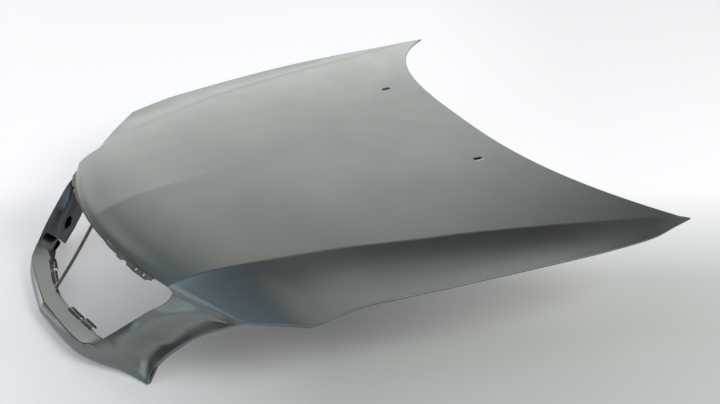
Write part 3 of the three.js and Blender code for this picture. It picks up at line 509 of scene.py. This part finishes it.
# %% How long a folded leg is
HEM_LEG = 9
FLANGE_DEPTH = 10
OPENING_FLANGE = 9
SIDE_FLANGE_HEIGHTS = (72, 88, 100, 116, 150, 172, 192, 205)
SIDE_FLANGE_DEPTHS = (6, 9, 24, 30, 29, 20, 11, OPENING_FLANGE)
SHORTEST_LEG = 2
LEG_GROWTH = 0.35

rear_corner = np.array(at(REAR_CORNER_HALF, REAR_CORNER_BACK, REAR_CORNER_HEIGHT))
cusp = np.array(at(CUSP_HALF, CUSP_BACK, CUSP_HEIGHT))
nose_tip = np.array(at(NOSE_TIP_HALF, NOSE_TIP_BACK, FLOOR_HEM))


def leg_length(place, full):
    left = np.abs(place * (1, 0, 0)) + place * (0, 1, 1)
    reaches = [np.linalg.norm(left - corner, axis=1) for corner in (rear_corner, cusp, nose_tip)]
    return np.minimum(full, SHORTEST_LEG + LEG_GROWTH * np.min(reaches, axis=0))


def opening_flange(place):
    beside = np.abs(place[:, 0]) >= OPENING_BOTTOM_HALF - 1e-6
    depth = np.interp(place[:, 2], SIDE_FLANGE_HEIGHTS, SIDE_FLANGE_DEPTHS)
    return np.where(beside & (place[:, 2] < SIDE_FLANGE_HEIGHTS[-1]), depth, OPENING_FLANGE)


print("leg at the cusp:", leg_length(cusp[None], HEM_LEG), "mm")

# %% [markdown]
# A path has two faces, the outer one and the one a sheet's thickness inside it. The hem goes out a
# little, round and back inward. The flange turns down in a small radius.

# %% Paths of the hem and of the flanges
HEM_DROP = 5
HEM_BULGE = 1.2
FLANGE_BULGE = 0.9
FOLD_STEPS = 10
OUTER_BACK = 250
OUTER_BELOW = SHELF_HEIGHT - 10
OUTER_HALF = OPENING_TOP_HALF + 14


def hem_paths(leg):
    inside = HEM_BULGE - SKIN_SHEET
    half = HEM_DROP / 2
    over = [(0.55, -0.1), (1.0, -0.45), (HEM_BULGE, -1.2), (HEM_BULGE, -half), (HEM_BULGE, 1.2 - HEM_DROP),
            (1.0, 0.45 - HEM_DROP), (0.55, 0.1 - HEM_DROP), (0, -HEM_DROP)]
    under = [(0.2, -0.9), (0.35, -1.1), (inside, -1.5), (inside, -half), (inside, 1.5 - HEM_DROP),
             (0.35, 1.1 - HEM_DROP), (0.2, 0.9 - HEM_DROP), (0, SKIN_SHEET - HEM_DROP)]
    flat = np.ones_like(leg)
    paths = []
    for path in (over, under):
        steps = [np.stack([out * flat, up * flat], -1) for out, up in path]
        end = path[-1][1]
        steps += [np.stack([-leg * share, end * flat], -1) for share in (0.5, 1)]
        paths.append(np.array(steps))
    return paths


def flange_paths(depth):
    inside = FLANGE_BULGE - SKIN_SHEET
    over = [(0.45, -0.1), (0.75, -0.4), (FLANGE_BULGE, -0.9)]
    under = [(0.0, -0.9), (0.08, -1.05), (inside, -1.3)]
    flat = np.ones_like(depth)
    paths = []
    for path in (over, under):
        steps = [np.stack([out * flat, up * flat], -1) for out, up in path]
        out, start = path[-1]
        rest = FOLD_STEPS - len(path)
        steps += [np.stack([out * flat, start - (depth + start) * k / rest], -1) for k in range(1, rest + 1)]
        paths.append(np.array(steps))
    return paths


def skin_fold(place):
    half = np.abs(place[:, 0])
    back = place[:, 1] + MIDDLE
    outer = (back > OUTER_BACK) | (place[:, 2] < OUTER_BELOW) | (half > OUTER_HALF)
    hemmed = outer & (back > CUSP_BACK + 1)
    hem = hem_paths(leg_length(place, HEM_LEG))
    flange = flange_paths(np.where(outer, leg_length(place, FLANGE_DEPTH), opening_flange(place)))
    return [np.where(hemmed[None, :, None], h, f) for h, f in zip(hem, flange)]


print("a fold has", FOLD_STEPS, "steps, and a hem leg is", HEM_LEG, "mm")

# %% [markdown]
# Where the flank turns into the pillar beside the opening, the two surfaces meet along a line that a
# press tool would have blended. Many small rounds of relaxing do the same here: each point near that line
# moves along its own normal towards the mean of its neighbours, and the feature lines stay put.

# %% Relaxing a sheet near its seam
SEAM_INNER = 60
SEAM_OUTER = 150
SEAM_ROUNDS = 160


def neighbour_pairs(faces):
    quads = np.array([f for f in faces if len(f) == 4], int)
    pairs = np.concatenate([quads[:, [k, (k + 1) % 4]] for k in range(4)])
    pairs = np.unique(np.sort(pairs, axis=1), axis=0)
    return np.concatenate([pairs, pairs[:, ::-1]])


def relaxed(points, faces, strength, rounds):
    pairs = neighbour_pairs(faces)
    count = np.bincount(pairs[:, 0], minlength=len(points))[:, None]
    points = points.copy()
    normals = point_normals(points, faces)
    for _ in range(rounds):
        sums = np.zeros_like(points)
        np.add.at(sums, pairs[:, 0], points[pairs[:, 1]])
        step = sums / np.maximum(count, 1) - points
        along_normal = (step * normals).sum(1, keepdims=True) * normals
        points += 0.5 * strength[:, None] * along_normal
    return points


def seam_share(points):
    left = points * (0, 1, 1) + np.abs(points * (1, 0, 0))
    start = crease(np.array(0.0))
    span = outer_edge(np.array(0.0)) - start
    share = np.clip((left - start) @ span / (span @ span), 0, 1)
    distance = np.linalg.norm(left - start - share[:, None] * span, axis=1)
    return 1 - fade(distance, SEAM_INNER, SEAM_OUTER)


def in_set(points, chosen):
    known = {tuple(p) for p in np.round(chosen, 1)}
    return np.array([tuple(p) in known for p in np.round(points, 1)], float)


print("relaxed in full within", SEAM_INNER, "mm of the seam, and not beyond", SEAM_OUTER, "mm")

# %% [markdown]
# Holes are cut with a boolean. The cutter is the outline of the hole, drawn out to a prism.

# %% Cutting holes
SLOT_HALF = 279
SLOT_BACK = 949
SLOT_LENGTH = 24
SLOT_WIDTH = 11
CUTTER_FOOT = 330
CUTTER_HEIGHT = 60


def slot_outline(length, width, steps=10):
    turns = np.linspace(0, math.pi, steps + 1)
    reach = (length - width) / 2
    arc = np.stack([np.cos(turns), np.sin(turns)], -1) * width / 2
    return np.concatenate([arc + (0, reach), -arc - (0, reach)])


def prism_object(name, outline, foot, height):
    count = len(outline)
    low = np.concatenate([outline, np.zeros((count, 1))], 1) + foot
    points = np.concatenate([low, low + (0, 0, height)])
    faces = [list(range(count))[::-1], [i + count for i in range(count)]]
    faces += [[i, (i + 1) % count, (i + 1) % count + count, i + count] for i in range(count)]
    return object_from(name, points, faces)


def punched(target, cutter):
    boolean = target.modifiers.new("cut", "BOOLEAN")
    boolean.operation = "DIFFERENCE"
    boolean.solver = "EXACT"
    boolean.object = cutter
    depsgraph = bpy.context.evaluated_depsgraph_get()
    cut = bpy.data.meshes.new_from_object(target.evaluated_get(depsgraph))
    target.modifiers.remove(boolean)
    target.data = cut
    bpy.data.objects.remove(cutter)


print("slot outline:", len(slot_outline(SLOT_LENGTH, SLOT_WIDTH)), "points")

# %% [markdown]
# The skin itself: four surfaces on each half, welded along the lines they share. The rows are the same on
# both sides of a line, so the points meet.

# %% Points of the outer skin
ROWS = runs((0, 0.014, 7), (0.014, 0.06, 5), (0.06, CUSP_STATION, 16), (CUSP_STATION, 1, 84))
TOP_COLUMNS = eased(44, 0.6)
STRIP_COLUMNS = eased(20, 0.5)
NOSE_ROWS = runs((0, TIP_STATION, 78), (TIP_STATION, SHELF_STATION, 12), (SHELF_STATION, 1, 66))
SHELF_ROWS = NOSE_ROWS[NOSE_ROWS >= SHELF_STATION - 1e-9]
SHELF_COLUMNS = np.array([0, 0.03, 0.08, 0.2, 0.36, 0.52, 0.68, 0.84, 1])

skin_sheet = Sheet()
skin_sheet.both_halves(grid(top_point, TOP_COLUMNS, ROWS))
skin_sheet.both_halves(grid(flank_point, STRIP_COLUMNS, ROWS))
skin_sheet.both_halves(grid(nose_point, STRIP_COLUMNS, NOSE_ROWS), turned=True)
skin_sheet.both_halves(grid(shelf_point, SHELF_COLUMNS, SHELF_ROWS))
skin_points, skin_faces = skin_sheet.welded()
print("points of the skin:", len(skin_points))

# %% [markdown]
# First the seam between flank and pillar is blended. Then a groove, two millimetres deep and one row of
# points wide, is pushed in along the ridge between shelf and bar, which reads as the dark line along it.

# %% Blend the seam and press the groove
RIDGE_GROOVE = 2.2
GROOVE_FADES = 14

free = np.concatenate([
    grid(flank_point, STRIP_COLUMNS, ROWS)[1:, 1:-1].reshape(-1, 3),
    grid(nose_point, STRIP_COLUMNS, NOSE_ROWS)[:-1, 1:-1].reshape(-1, 3),
])
left_half = np.abs(skin_points * (1, 0, 0)) + skin_points * (0, 1, 1)
nearness = seam_share(skin_points) * in_set(left_half, free)
ridge_end = fade(left_half[:, 0], OPENING_BOTTOM_HALF - GROOVE_FADES, OPENING_BOTTOM_HALF)
ridge = in_set(left_half, opening_side(SHELF_ROWS)) * (1 - ridge_end)
smoother = relaxed(skin_points, skin_faces, nearness, SEAM_ROUNDS)
print("seam moved at most", round(float(np.linalg.norm(smoother - skin_points, axis=1).max()), 1), "mm")
skin_points = smoother
skin_points -= point_normals(skin_points, skin_faces) * (RIDGE_GROOVE * ridge)[:, None]
print("points in the groove:", int((ridge > 0).sum()))

# %% [markdown]
# The sheet is then given its thickness and its folds. The two slots for the washer jets are cut last, by
# a boolean, so the sheet's two faces are open to each other there as in a stamped hole.

# %% Outer skin
outer_skin = object_from("skin_sheet", *folded_sheet(skin_points, skin_faces, SKIN_SHEET, skin_fold))
for side in (1, -1):
    foot = at(side * SLOT_HALF, SLOT_BACK, CUTTER_FOOT)
    cutter = prism_object("slot cutter", slot_outline(SLOT_LENGTH, SLOT_WIDTH), foot, CUTTER_HEIGHT)
    punched(outer_skin, cutter)
print("outer skin:", len(outer_skin.data.polygons), "faces")
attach(outer_skin, "root")
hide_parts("outer_skin")

# %% [markdown]
# Four spring clips sit on the inner edge of the shelf, where the grille is pushed on. Each is a comb of
# sprung fingers bent from one strip: the fingers arch over the edge of the shelf, and a lip turned down
# behind joins them. The path of a finger is written in pairs again, out over the opening and up from the
# shelf.

# %% Spring clips of the grille
CLIP_SHEET = 0.8
CLIP_GAP = 0.7
CLIP_JOIN = 3
CLIPS = {"inner": (74, 138, 10, 9), "outer": (152, 204, 13, 7)}
EDGE_SAMPLES = 400
EDGE_STEP = 0.002


def clip_path(reach):
    arch = [(-7, CLIP_GAP), (-4, 2.6), (0, 3.8), (reach * 0.55, 2.6), (reach, CLIP_GAP)]
    lip = [(reach, -3), (reach - 1.5, -7)]
    return arch + lip


def shelf_frames(halves):
    rows = np.linspace(SHELF_STATION, 1, EDGE_SAMPLES)
    edge = shelf_edge(rows)
    along = np.interp(halves, edge[::-1, 0], rows[::-1])
    run = unit(shelf_edge(np.minimum(along + EDGE_STEP, 1)) - shelf_edge(along - EDGE_STEP))
    inward = shelf_edge(along) - opening_side(along)
    up = unit(np.cross(inward, run))
    up = up * np.sign(up[:, 2:])
    out = unit(np.cross(up, run))
    out = out * np.sign((out * inward).sum(1, keepdims=True))
    return shelf_edge(along), out, up


def spring_clip(side, start, stop, reach, fingers):
    cuts = np.linspace(start, stop, 2 * fingers)
    place, out, up = shelf_frames(cuts)
    path = np.array(clip_path(reach))
    rows = place[:, None] + out[:, None] * path[None, :, :1] + up[:, None] * path[None, :, 1:]
    rows = rows * (side, 1, 1)
    comb = Sheet()
    for k in range(len(cuts) - 1):
        first = 0 if k % 2 == 0 else CLIP_JOIN
        comb.add(rows[k:k + 2, first:], turned=side > 0)
    points, faces = comb.welded()
    return folded_sheet(points, faces, CLIP_SHEET)


clips = []
for hand, side in (("left", 1), ("right", -1)):
    for row, (start, stop, reach, fingers) in CLIPS.items():
        clip = object_from(f"spring_clip_{row}_{hand}", *spring_clip(side, start, stop, reach, fingers), 30)
        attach(clip, "root")
        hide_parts(f"grille_clip_{row}_{hand}")
        clips.append(clip)
print("spring clips:", [len(clip.data.polygons) for clip in clips])

# %% [markdown]
# The finishes. Each is built from the same few nodes: a slow noise that drifts the colour, a quicker one
# that drifts the gloss, and a fine grain that lifts the surface by hundredths of a millimetre. What
# differs is how strong each is. All of them are laid out in the object's own metres, so the grain has a
# real size.

# %% A helper for painted and coated finishes
def linked(tree, kind, settings=None, inputs=None):
    node = tree.nodes.new(kind)
    for name, value in (settings or {}).items():
        setattr(node, name, value)
    for name, value in (inputs or {}).items():
        if isinstance(value, bpy.types.NodeSocket):
            tree.links.new(value, node.inputs[name])
        else:
            node.inputs[name].default_value = value
    return node


def noise(tree, place, size, detail=2.0, roughness=0.5):
    settings = {"Vector": place, "Scale": 1 / size, "Detail": detail, "Roughness": roughness}
    return linked(tree, "ShaderNodeTexNoise", inputs=settings).outputs["Fac"]


def spread(tree, value, low, high, start=0.3, stop=0.7):
    settings = {"Value": value, "From Min": start, "From Max": stop, "To Min": low, "To Max": high}
    return linked(tree, "ShaderNodeMapRange", inputs=settings).outputs["Result"]


def blended(tree, share, first, second):
    node = linked(tree, "ShaderNodeMix", {"data_type": "RGBA"}, {"Factor": share})
    node.inputs[6].default_value = (*first, 1)
    node.inputs[7].default_value = (*second, 1)
    return node.outputs[2]


def finish(name, dark, light, gloss, metallic, drift=0.25, grain=0.0012, lift=0.00002, specular=0.5):
    material = bpy.data.materials.new(name)
    material.use_nodes = True
    tree = material.node_tree
    shader = tree.nodes["Principled BSDF"]
    place = linked(tree, "ShaderNodeTexCoord").outputs["Object"]
    colour = blended(tree, spread(tree, noise(tree, place, drift, 4.0), 0, 1), dark, light)
    tree.links.new(colour, shader.inputs["Base Color"])
    tree.links.new(spread(tree, noise(tree, place, drift * 0.3, 3.0), *gloss), shader.inputs["Roughness"])
    bump = linked(tree, "ShaderNodeBump", inputs={
        "Height": noise(tree, place, grain, 3.0), "Strength": 1.0, "Distance": lift,
    })
    tree.links.new(bump.outputs["Normal"], shader.inputs["Normal"])
    shader.inputs["Metallic"].default_value = metallic
    shader.inputs["Specular IOR Level"].default_value = specular
    return material


# %% [markdown]
# Outer primer is a thin satin coat over bare steel. It carries fine metal flake, so it mirrors the room
# far more than a chalky paint would, yet in a very soft way. The inner panels only ever see the dip bath:
# a darker, bluer and duller coat. Brackets came from another bath, a brownish one. The clips are
# blackened spring steel.

# %% Finishes of the pieces
primer = finish("grey primer", (0.176, 0.19, 0.184), (0.196, 0.212, 0.204), (0.27, 0.31), 0.92,
                grain=0.006, lift=0.00001)
inner_primer = finish("dip primer", (0.078, 0.092, 0.108), (0.104, 0.12, 0.138), (0.38, 0.5), 0.2,
                      drift=0.12, grain=0.004)
bracket_paint = finish("bracket primer", (0.10, 0.09, 0.07), (0.15, 0.14, 0.105), (0.42, 0.58), 0.2,
                       drift=0.03)
clip_paint = finish("clip black", (0.012, 0.011, 0.011), (0.028, 0.025, 0.024), (0.5, 0.7), 0.0, drift=0.01)
mastic = finish("mastic", (0.015, 0.014, 0.013), (0.03, 0.028, 0.026), (0.7, 0.9), 0.0,
                drift=0.01, grain=0.003, lift=0.0003)
zinc = finish("zinc plate", (0.42, 0.42, 0.36), (0.58, 0.58, 0.52), (0.28, 0.45), 0.95, drift=0.006)

slot_materials = {
    "primer": primer,
    "inner_primer": inner_primer,
    "bracket": bracket_paint,
    "clip": clip_paint,
    "mastic": mastic,
    "zinc": zinc,
}
outer_skin.data.materials.append(primer)
for clip in clips:
    clip.data.materials.append(clip_paint)
slot_of = {s["node"]: s["material_slot"] for s in frame["record"]["subparts"]}
for name, node in nodes.items():
    node.data.materials.clear()
    node.data.materials.append(slot_materials[slot_of[name]])
print("finishes:", len(slot_materials))

# %% [markdown]
# The room. The panel lies on pale paper in front of a bright wall on its far side, and everything else
# round it is dimmer. The satin top mirrors that wall, which is why it runs from light at the far edge to
# dark at the near rear corner. The wall is made in the world, from two ramps: one says how bright a
# direction is by its height over the horizon, the other dims it to both sides of the way to the wall. A
# cool sky high over the front is added, which gives the steep sides their bluish tone. The tones were
# tuned until each part of the panel was about as light as in the photo.

# %% Tones of the room
WALL_TURN = math.radians(160)
WALL_WAY = (math.cos(WALL_TURN), math.sin(WALL_TURN), 0.0)
FRONT_WAY = (-math.sin(WALL_TURN), math.cos(WALL_TURN), 0.0)
HEIGHT_TONES = [
    (0.0, 0.9), (0.5, 1.8), (0.6, 1.8), (0.695, 1.55), (0.75, 1.4), (0.82, 1.12), (0.86, 0.93), (0.91, 0.84),
    (0.935, 0.92), (0.955, 0.42), (0.972, 0.11), (1.0, 0.08),
]
SIDE_TONES = [
    (0.0, 0.36), (0.3, 0.22), (0.43, 0.2), (0.455, 0.52), (0.475, 0.95), (0.53, 0.95), (0.56, 0.74),
    (0.59, 0.4), (0.62, 0.17), (0.66, 0.11), (0.70, 0.1), (0.73, 0.05), (0.78, 0.05), (0.83, 0.25),
    (1.0, 0.36),
]
FRONT_SKY = [
    (0.0, 0.0), (0.57, 0.0), (0.65, 0.34), (0.72, 0.42), (0.78, 0.44), (0.85, 0.75), (0.92, 0.35),
    (1.0, 0.0),
]
SKY_HEIGHT = [(0.0, 0.0), (0.76, 0.0), (0.85, 1.0), (1.0, 0.8)]
WALL_COLOUR = (0.985, 1.0, 0.965, 1)
SKY_COLOUR = (0.72, 1.0, 1.25, 1)
print("stops of the four ramps:", [len(r) for r in (HEIGHT_TONES, SIDE_TONES, FRONT_SKY, SKY_HEIGHT)])


# %% Nodes that make tones
def tone_ramp(tree, value, stops):
    node = linked(tree, "ShaderNodeValToRGB", inputs={"Fac": value})
    elements = node.color_ramp.elements
    while len(elements) < len(stops):
        elements.new(0.5)
    for element, (share, tone) in zip(elements, stops):
        element.position = share
        element.color = (tone, tone, tone, 1)
    return node.outputs["Color"]


def dotted(tree, vector, other):
    inputs = {0: vector, 1: other}
    return linked(tree, "ShaderNodeVectorMath", {"operation": "DOT_PRODUCT"}, inputs).outputs["Value"]


def calculated(tree, operation, first, second):
    return linked(tree, "ShaderNodeMath", {"operation": operation}, {0: first, 1: second}).outputs["Value"]


def tinted(tree, operation, first, second):
    node = linked(tree, "ShaderNodeMix", {"data_type": "RGBA", "blend_type": operation}, {"Factor": 1.0})
    for slot, value in ((6, first), (7, second)):
        if isinstance(value, bpy.types.NodeSocket):
            tree.links.new(value, node.inputs[slot])
        else:
            node.inputs[slot].default_value = value
    return node.outputs[2]


# %% The room
world = bpy.data.worlds.new("room")
bpy.context.scene.world = world
world.use_nodes = True
tree = world.node_tree
way = linked(tree, "ShaderNodeTexCoord").outputs["Generated"]
height = spread(tree, dotted(tree, way, (0, 0, 1)), 0, 1, -1, 1)
turn = calculated(tree, "ARCTAN2", dotted(tree, way, FRONT_WAY), dotted(tree, way, WALL_WAY))
side = spread(tree, turn, 0, 1, -math.pi, math.pi)
wall = tinted(tree, "MULTIPLY", tone_ramp(tree, height, HEIGHT_TONES), tone_ramp(tree, side, SIDE_TONES))
sky = tinted(tree, "MULTIPLY", tone_ramp(tree, side, FRONT_SKY), tone_ramp(tree, height, SKY_HEIGHT))
sky = tinted(tree, "MULTIPLY", sky, SKY_COLOUR)
room = tinted(tree, "ADD", tinted(tree, "MULTIPLY", wall, WALL_COLOUR), sky)
tree.links.new(room, tree.nodes["Background"].inputs["Color"])
tree.nodes["Background"].inputs["Strength"].default_value = 1.0
print("nodes of the room:", len(tree.nodes))


# %% [markdown]
# Three lamps help. A broad one behind the camera, which no visible face mirrors, lifts the shadows. A
# wide, cool window in front draws the soft streak down the pillar beside the grille opening. A low one at
# the left of the picture lights the front of the nose bar.

# %% Lamps
def area_lamp(name, place, target, size, power):
    data = bpy.data.lights.new(name, "AREA")
    data.shape = "RECTANGLE"
    data.size, data.size_y = size
    data.energy = power
    lamp = bpy.data.objects.new(name, data)
    lamp.location = place
    lamp.rotation_mode = "QUATERNION"
    lamp.rotation_quaternion = (Vector(target) - Vector(place)).to_track_quat("-Z", "Y")
    bpy.context.scene.collection.objects.link(lamp)
    return lamp


area_lamp("behind the camera", (4.6, 1.6, 3.6), (0, 0, 0.2), (3.0, 2.0), 185)
front_window = area_lamp("front window", (1.75, -4.3, 2.1), (0.4, -0.55, 0.15), (3.4, 2.4), 24)
front_window.data.color = (0.74, 0.90, 1.0)
area_lamp("left window", (-3.2, -2.0, 0.22), (-0.1, -0.7, 0.05), (2.4, 0.4), 9)
print("lamps:", len(bpy.data.lights))

# %% [markdown]
# The floor is a wide sheet of paper.

# %% Floor
FLOOR_HALF = 30
floor_mesh = bpy.data.meshes.new("floor")
floor_mesh.from_pydata(
    [(-FLOOR_HALF, -FLOOR_HALF, 0), (FLOOR_HALF, -FLOOR_HALF, 0), (FLOOR_HALF, FLOOR_HALF, 0),
     (-FLOOR_HALF, FLOOR_HALF, 0)], [], [(0, 1, 2, 3)])
floor = bpy.data.objects.new("floor", floor_mesh)
bpy.context.scene.collection.objects.link(floor)
print("floor:", 2 * FLOOR_HALF, "m wide")

# %% [markdown]
# The paper's colour holds painted shade: it is white far away and at the left, and falls off to a pale
# grey towards the near right, as a sheet lit from one side does. Its tone depends on the place on the
# floor, measured away from the camera and sideways. Part of it glows for the camera and for reflections:
# far away, and as painted light at the left and faintly from under the panel onwards, where it lifts the
# shadow of the panel, because the paper is lighter there than the lamps make it. The rest is plain paper
# that keeps the soft shadow.

# %% Paper
AWAY_FROM_CAMERA = Vector((-0.91, 0.415, 0.0))
SIDEWAYS = Vector((0.415, 0.91, 0.0))
FAR_STRETCH = (-0.1, 0.5)
RIGHT_STRETCH = (-0.7, 0.1)
UNDER_STRETCH = (-0.38, 0.0)
UNDER_PAINTED_LIGHT = (0.01, 0.17)

paper = bpy.data.materials.new("paper")
paper.use_nodes = True
tree = paper.node_tree
shader = tree.nodes["Principled BSDF"]
place = linked(tree, "ShaderNodeTexCoord").outputs["Object"]
far_share = spread(tree, dotted(tree, place, AWAY_FROM_CAMERA), 0, 1, *FAR_STRETCH)
right_share = spread(tree, dotted(tree, place, SIDEWAYS), 0, 1, *RIGHT_STRETCH)
# painted shade: the paper's colour turns grey towards the near right
shaded_paper_tone = blended(tree, right_share, (0.90, 0.90, 0.92), (0.60, 0.62, 0.58))
paper_mix = linked(tree, "ShaderNodeMix", {"data_type": "RGBA"}, {"Factor": far_share})
tree.links.new(shaded_paper_tone, paper_mix.inputs[6])
paper_mix.inputs[7].default_value = (0.90, 0.88, 0.89, 1)
tree.links.new(paper_mix.outputs[2], shader.inputs["Base Color"])
shader.inputs["Roughness"].default_value = 0.9
shader.inputs["Specular IOR Level"].default_value = 0.1
light_path = linked(tree, "ShaderNodeLightPath")
seen = calculated(tree, "MAXIMUM", light_path.outputs["Is Camera Ray"], light_path.outputs["Is Glossy Ray"])
# painted light: the paper glows more at the left of the picture
painted_light_left = spread(tree, right_share, 0.16, 0.03, 0, 1)
glow = calculated(tree, "MAXIMUM", painted_light_left, spread(tree, far_share, 0.0, 0.28, 0, 1))
# painted light: a faint glow from under the panel onwards lifts the panel's shadow
under = spread(tree, dotted(tree, place, AWAY_FROM_CAMERA), *UNDER_PAINTED_LIGHT, *UNDER_STRETCH)
half_at_right = spread(tree, dotted(tree, place, SIDEWAYS), 1, 0.5, 0.4, 0.95)
painted_light_under_panel = calculated(tree, "MULTIPLY", under, half_at_right)
shader.inputs["Emission Color"].default_value = (1.0, 0.98, 0.99, 1)
glow = calculated(tree, "ADD", glow, painted_light_under_panel)
tree.links.new(calculated(tree, "MULTIPLY", seen, glow), shader.inputs["Emission Strength"])
floor_mesh.materials.append(paper)
print("nodes of the paper:", len(tree.nodes))

bpy.context.scene.view_settings.view_transform = "Standard"
